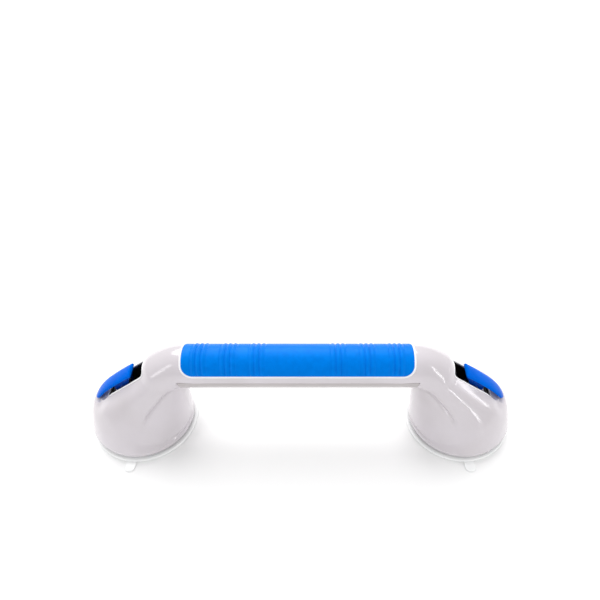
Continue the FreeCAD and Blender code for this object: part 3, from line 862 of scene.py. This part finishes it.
@dataclass
class Lever:
    """A blue cam lever: a crowned top with a rounded tip and rounded sides, two ears and two cams."""

    tail: float = 19.2
    tip: float = 40.0
    half_width: float = 7.7
    top: float = 7.8
    peak: float = 14.0
    thickness: float = 2.4
    tip_radius: float = 15.0
    dome: float = 1.0
    ear_thickness: float = 2.3
    ear_end: float = 5.5
    cam_radius: float = 6.69
    cam_offset: float = 2.67
    cam_lead: float = math.radians(30.0)
    rows: int = 110
    around: int = 64

    def crown(self, along: np.ndarray) -> np.ndarray:
        """Give the height of the lever's top: a slow fall to the tail and a faster one to the tip."""
        past = along - self.peak
        return self.top - np.where(past > 0.0, 0.0050, 0.0016) * past ** 2

    def plate(self) -> Surface:
        """Make the top plate from rounded-rectangle slices that close in towards both ends.

        Each slice is a power curve: the fifth power of the share across and the fourth power of the share
        up add up to one. The half width follows a rounded curve at the tip and a circle at the tail.

        Returns:
            The plate in the lever's frame.
        """
        share = np.linspace(0.0, 1.0, self.rows)
        ease = 0.5 - 0.5 * np.cos(math.pi * share)
        along = -self.tail + (self.tail + self.tip) * (0.6 * ease + 0.4 * share)
        from_tip = np.clip((along - (self.tip - self.tip_radius)) / self.tip_radius, 0.0, 1.0)
        from_tail = np.clip((-self.tail + 1.6 - along) / 1.6, 0.0, 1.0)
        close_tip = np.sqrt(np.maximum(1.0 - from_tip ** 2.6, 0.0))
        close_tail = np.sqrt(np.maximum(1.0 - from_tail ** 2, 0.0))
        width = self.half_width * close_tip * (0.86 + 0.14 * close_tail)
        thick = self.thickness / 2.0 * (0.35 + 0.65 * close_tip) * (0.3 + 0.7 * close_tail)
        width, thick = np.maximum(width, 0.02), np.maximum(thick, 0.02)
        turn = np.linspace(0.0, 2.0 * math.pi, self.around, endpoint=False)[None, :]
        cosine, sine = np.cos(turn), np.sin(turn)
        across = width[:, None] * signed_power(cosine, 2.0 / 5.0)
        lift = signed_power(sine, 2.0 / 4.0)
        dome = self.dome * (1.0 - (across / self.half_width) ** 2)
        core = (self.crown(along) - self.thickness / 2.0)[:, None]
        height = core + thick[:, None] * lift + dome * (lift > 0.0)
        return Surface.from_rings(np.stack([along[:, None] + 0.0 * across, across, height], axis=-1))

    def ear(self, sign: int) -> Surface:
        """Make one ear: a side plate that deepens from the lever's tail to the pin."""
        under = self.top - self.thickness - 0.6
        profile = np.array([
            (-self.tail + 0.6, under), (-self.tail + 0.6, under - 0.8),
            (-12.5, 2.0), (-8.0, -1.4), (-5.0, -3.0),
            (self.ear_end - 0.8, -3.0), (self.ear_end, -2.2), (self.ear_end - 3.0, under),
        ])
        outer = sign * (self.half_width - 0.9)
        inner = sign * (self.half_width - self.ear_thickness)
        ways = profile - profile.mean(axis=0)
        length = np.linalg.norm(ways, axis=1)[:, None]
        steps = ((outer, 0.35), (outer - sign * 0.35, 0.0), (inner + sign * 0.2, 0.0), (inner, 0.2))
        slices = [np.insert(profile - inset * ways / length, 1, across, axis=1) for across, inset in steps]
        return Surface.from_rings(np.stack(slices))

    def cam(self, sign: int) -> Surface:
        """Make one cam: a disc off the pin's centre, which lifts the stem as the lever closes."""
        heading = LEVER_SLOPE - math.pi / 2.0 + self.cam_lead
        middle = self.cam_offset * np.array([math.cos(heading), math.sin(heading)])
        turn = np.linspace(0.0, 2.0 * math.pi, 64, endpoint=False)
        circle = np.column_stack([np.cos(turn), np.sin(turn)])
        outer, inner = self.half_width - 1.1, self.half_width - self.ear_thickness - 0.05
        steps = ((outer, 0.3), (outer - 0.3, 0.0), (inner + 0.3, 0.0), (inner, 0.3))
        slices = [np.insert(middle + (self.cam_radius - bevel) * circle, 1, sign * across, axis=1)
                  for across, bevel in steps]
        return Surface.from_rings(np.stack(slices))

    def build(self, side: Side, finish: bpy.types.Material,
              shaded: bpy.types.Material) -> tuple[bpy.types.Object, bpy.types.Object]:
        """Make one lever at its end of the bar.

        Args:
            side: Which end of the bar.
            finish: The top plate's material.
            shaded: The material of the ears and cams under it, painted navy for the shade under the top
                plate.

        Returns:
            The top plate, and the ears with their cams.
        """
        under = [shape for sign in (-1, 1) for shape in (self.ear(sign), self.cam(sign))]
        pieces = []
        for name, whole, material in (("lever_skin", self.plate(), finish),
                                      ("lever_ears", Surface.joined(under), shaded)):
            placed = to_station(Surface(lever_to_station(whole.points), whole.faces), side)
            piece = placed.to_object(f"{side.word}_{name}", material)
            sharpen(piece, 40.0)
            pieces.append(piece)
        return pieces[0], pieces[1]


@dataclass
class Cup:
    """A pale rubber cup: a rounded lip, a thin sloping skin, a boss for the stem and two pull tabs."""

    radius: float = 51.5
    around: int = 180
    tab_turn: float = math.radians(5.0)
    tab_width: float = 10.0
    tab_length: float = 10.5

    def profile(self) -> np.ndarray:
        """List the cup's section from the middle of its underside, out round the lip and back to the boss."""
        lip_turn = np.linspace(-0.5 * math.pi, 0.5 * math.pi, 9)
        lip = np.column_stack([self.radius - 1.7 + 1.7 * np.cos(lip_turn), 1.7 + 1.7 * np.sin(lip_turn)])
        under = np.array([(0.4, 3.0), (12.5, 3.0), (30.0, 1.8), (41.5, 0.9), (44.5, 0.1)])
        over = np.array([(46.5, 3.3), (43.0, 3.1), (30.0, 4.0), (15.5, 5.4), (13.2, 6.2), (12.6, 7.5),
                         (12.4, 10.2), (11.6, 11.0), (4.2, 11.0), (4.1, 8.1), (0.4, 8.1)])
        return np.vstack([under, lip, over])

    def build(self, side: Side, finish: bpy.types.Material) -> bpy.types.Object:
        """Turn the section into a cup and add its tabs.

        Args:
            side: Which end of the bar.
            finish: The cup's material.

        Returns:
            The cup.
        """
        turn = np.linspace(0.0, 2.0 * math.pi, self.around, endpoint=False)
        shapes = [Surface.from_rings(turned(self.profile(), turn)), self.tab(-1), self.tab(1)]
        cup = to_station(Surface.joined(shapes), side).to_object(f"{side.word}_cup_skin", finish)
        sharpen(cup, 50.0)
        return cup

    def tab(self, sign: int) -> Surface:
        """Make one pull tab: a thin strip from the lip that widens a little to its rounded end."""
        share = np.linspace(0.0, 1.0, 26)
        reach = self.radius - 3.0 + share * (self.tab_length + 3.0)
        width = self.tab_width / 2.0 * (0.95 + 0.12 * share) * np.sqrt(np.maximum(1.0 - share ** 7, 0.0004))
        turn = np.linspace(0.0, 2.0 * math.pi, 32, endpoint=False)[None, :]
        across = width[:, None] * signed_power(np.cos(turn), 0.4)
        ridge = 0.35 * np.exp(-((share - 0.86) / 0.06) ** 2)[:, None]
        lift = signed_power(np.sin(turn), 0.5)
        height = 0.95 + (0.75 + ridge) * lift
        heading = sign * (math.pi / 2.0 - self.tab_turn)
        along = reach[:, None] + 0.0 * across
        x = along * math.cos(heading) - across * math.sin(heading)
        y = along * math.sin(heading) + across * math.cos(heading)
        return Surface.from_rings(np.stack([x, y, height], axis=-1))


@dataclass
class Studio:
    """A pale floor, soft lights and the camera."""

    focal_share: float = 417.0 / 600.0
    distance: float = 0.430
    elevation: float = math.radians(58.0)
    aim_x: float = 0.015
    shift_x: float = -0.0265
    shift_y: float = 0.1953
    floor_reach: float = 6.0
    surroundings: float = 0.68
    sun_power: float = 2.25
    sun_spread: float = math.radians(50.0)
    sun_tilt: tuple = (math.radians(-38.0), math.radians(-10.0), 0.0)

    def camera(self) -> None:
        """Stand the camera in front of the bar, looking down at it."""
        data = bpy.data.cameras.new("camera")
        data.sensor_width = 36.0
        data.lens = data.sensor_width * self.focal_share
        data.shift_x, data.shift_y = self.shift_x, self.shift_y
        data.clip_start = 0.01
        camera = add_object("camera", data)
        camera.location = (self.aim_x, -self.distance * math.cos(self.elevation),
                           self.distance * math.sin(self.elevation))
        camera.rotation_euler = (math.pi / 2.0 - self.elevation, 0.0, 0.0)
        bpy.context.scene.camera = camera

    @staticmethod
    def strip(name: str, start: tuple, end: tuple, aim: tuple, width: float, power: float) -> None:
        """Hang one narrow softbox between two points.

        Args:
            name: The light's name.
            start: One end of its long middle line, in metres.
            end: The other end.
            aim: The point it faces.
            width: Its width in metres.
            power: Its power in watts.
        """
        middle = (Vector(start) + Vector(end)) / 2.0
        data = bpy.data.lights.new(name, "AREA")
        data.shape = "RECTANGLE"
        data.size, data.size_y = width, (Vector(end) - Vector(start)).length
        data.energy = power
        away = (middle - Vector(aim)).normalized()
        beside = (Vector(end) - Vector(start)).cross(away).normalized()
        turn = Matrix((beside, away.cross(beside), away)).transposed().to_4x4()
        lamp = add_object(name, data)
        lamp.matrix_world = Matrix.Translation(middle) @ turn

    def build(self) -> None:
        """Set up the floor, the lights, the surroundings and the camera."""
        mesh = bpy.data.meshes.new("floor")
        reach = self.floor_reach
        corners = [(-reach, -reach, 0), (reach, -reach, 0), (reach, reach, 0), (-reach, reach, 0)]
        mesh.from_pydata(corners, [], [(0, 1, 2, 3)])
        floor = add_object("floor", mesh)
        paper = bpy.data.materials.new("pale_paper")
        paper.use_nodes = True
        shader = paper.node_tree.nodes["Principled BSDF"]
        shader.inputs["Base Color"].default_value = linear("FAFAFA")
        shader.inputs["Roughness"].default_value = 0.9
        mesh.materials.append(paper)
        world = bpy.data.worlds.new("studio")
        bpy.context.scene.world = world
        world.use_nodes = True
        background = world.node_tree.nodes["Background"]
        background.inputs["Color"].default_value = linear("FFFFFF")
        background.inputs["Strength"].default_value = self.surroundings
        sun = bpy.data.lights.new("overhead_sun", "SUN")
        sun.energy = self.sun_power
        sun.angle = self.sun_spread
        lamp = add_object("overhead_sun", sun)
        lamp.rotation_euler = self.sun_tilt
        self.strip("right_strip", (0.55, -0.24, 0.48), (0.52, -0.48, 0.05), (0.13, -0.02, 0.07), 0.03, 0.45)
        self.strip("side_strip", (0.74, 0.09, 0.18), (0.74, -0.09, 0.19), (0.16, -0.02, 0.06), 0.03, 0.09)
        self.strip("left_strip", (-0.43, -0.27, 0.53), (-0.62, -0.36, 0.19), (-0.11, -0.01, 0.09), 0.12, 0.4)
        self.camera()
        bpy.context.scene.view_settings.view_transform = "Standard"


def dress(obj: bpy.types.Object, body: str, slot: str, *nodes: str) -> None:
    """Make a piece ride on a body and stand for its CAD nodes.

    Args:
        obj: The piece.
        body: The body it moves with.
        slot: The record's material slot; not used.
        nodes: The CAD nodes that it stands for.
    """
    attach(obj, body)
    if nodes:
        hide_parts(*nodes)
    LOG.info("%s rides on %s", obj.name, body)


def finish_hidden_nodes(steel: bpy.types.Material, white: bpy.types.Material) -> None:
    """Give the CAD nodes that still show their finishes."""
    steel_words = ("stem", "stud_disc", "pivot_pin", "spring_collar", "release_spring", "cam_plate", "screws")
    for name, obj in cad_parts.items():
        for socket in obj.material_slots:
            socket.material = steel if name.endswith(steel_words) else white


def main() -> None:
    """Build every piece and the studio."""
    logging.basicConfig(level=logging.INFO)
    white, tpr, blue = WHITE_ABS.build(), BLUE_TPR.build(), BLUE_ABS.build()
    black, rubber, steel = BLACK_ABS.build(), CUP_RUBBER.build(), ZINC_STEEL.build()
    lip_highlight, underside, navy = LIP_PAINTED_HIGHLIGHT_ABS.build(), UNDERSIDE_PAINTED_SHADE_ABS.build(), NAVY_PAINTED_SHADE_ABS.build()
    finish_hidden_nodes(steel, white)
    grip = Grip()
    right = Surface.from_rings(Shell().half() + np.array([BAR.axis_reach, 0.0, 0.0]))
    probe = right.to_object("probe", white)
    bpy.context.view_layer.update()
    edge = WELL.outline(0.0)
    rim = surface_heights(probe, edge)
    bpy.data.objects.remove(probe)
    dress(Shell().build(white), "housing", "white_abs", "upper_shell")
    lips = [grip.lip()]
    for side in Side:
        path = lever_to_station(np.column_stack([edge, rim]))
        out = np.tile([math.sin(LEVER_SLOPE), 0.0, math.cos(LEVER_SLOPE)], (len(path), 1))
        lips.append(to_station(Bead().along(path, out), side))
        tub = to_station(WELL.tub(rim), side).to_object(f"{side.word}_well_tub", black)
        dress(tub, "housing", "black_abs", f"{side.word}_lever_well")
        # The ears and cams take the navy finish, a painted shade.
        plate, ears = Lever().build(side, blue, navy)
        dress(plate, f"{side.word}_lever_body", "blue_abs", f"{side.word}_lever")
        dress(ears, f"{side.word}_lever_body", "blue_abs")
        cup = Cup().build(side, rubber)
        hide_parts(f"{side.word}_suction_cup")
        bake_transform(cup)
        LOG.info("%s bends between the housing and its stem", cup.name)
    # The lips' pale finish is a painted highlight.
    dress(Surface.joined(lips).to_object("shell_lips", lip_highlight), "housing", "white_abs")
    # The handle's underside takes the darker ABS, a painted shade.
    dress(LowerShell().build(underside), "housing", "white_abs", "lower_shell")
    dress(grip.build(tpr), "housing", "blue_tpr", "grip_pad")
    Studio().build()


if __name__ == "__main__":
    main()
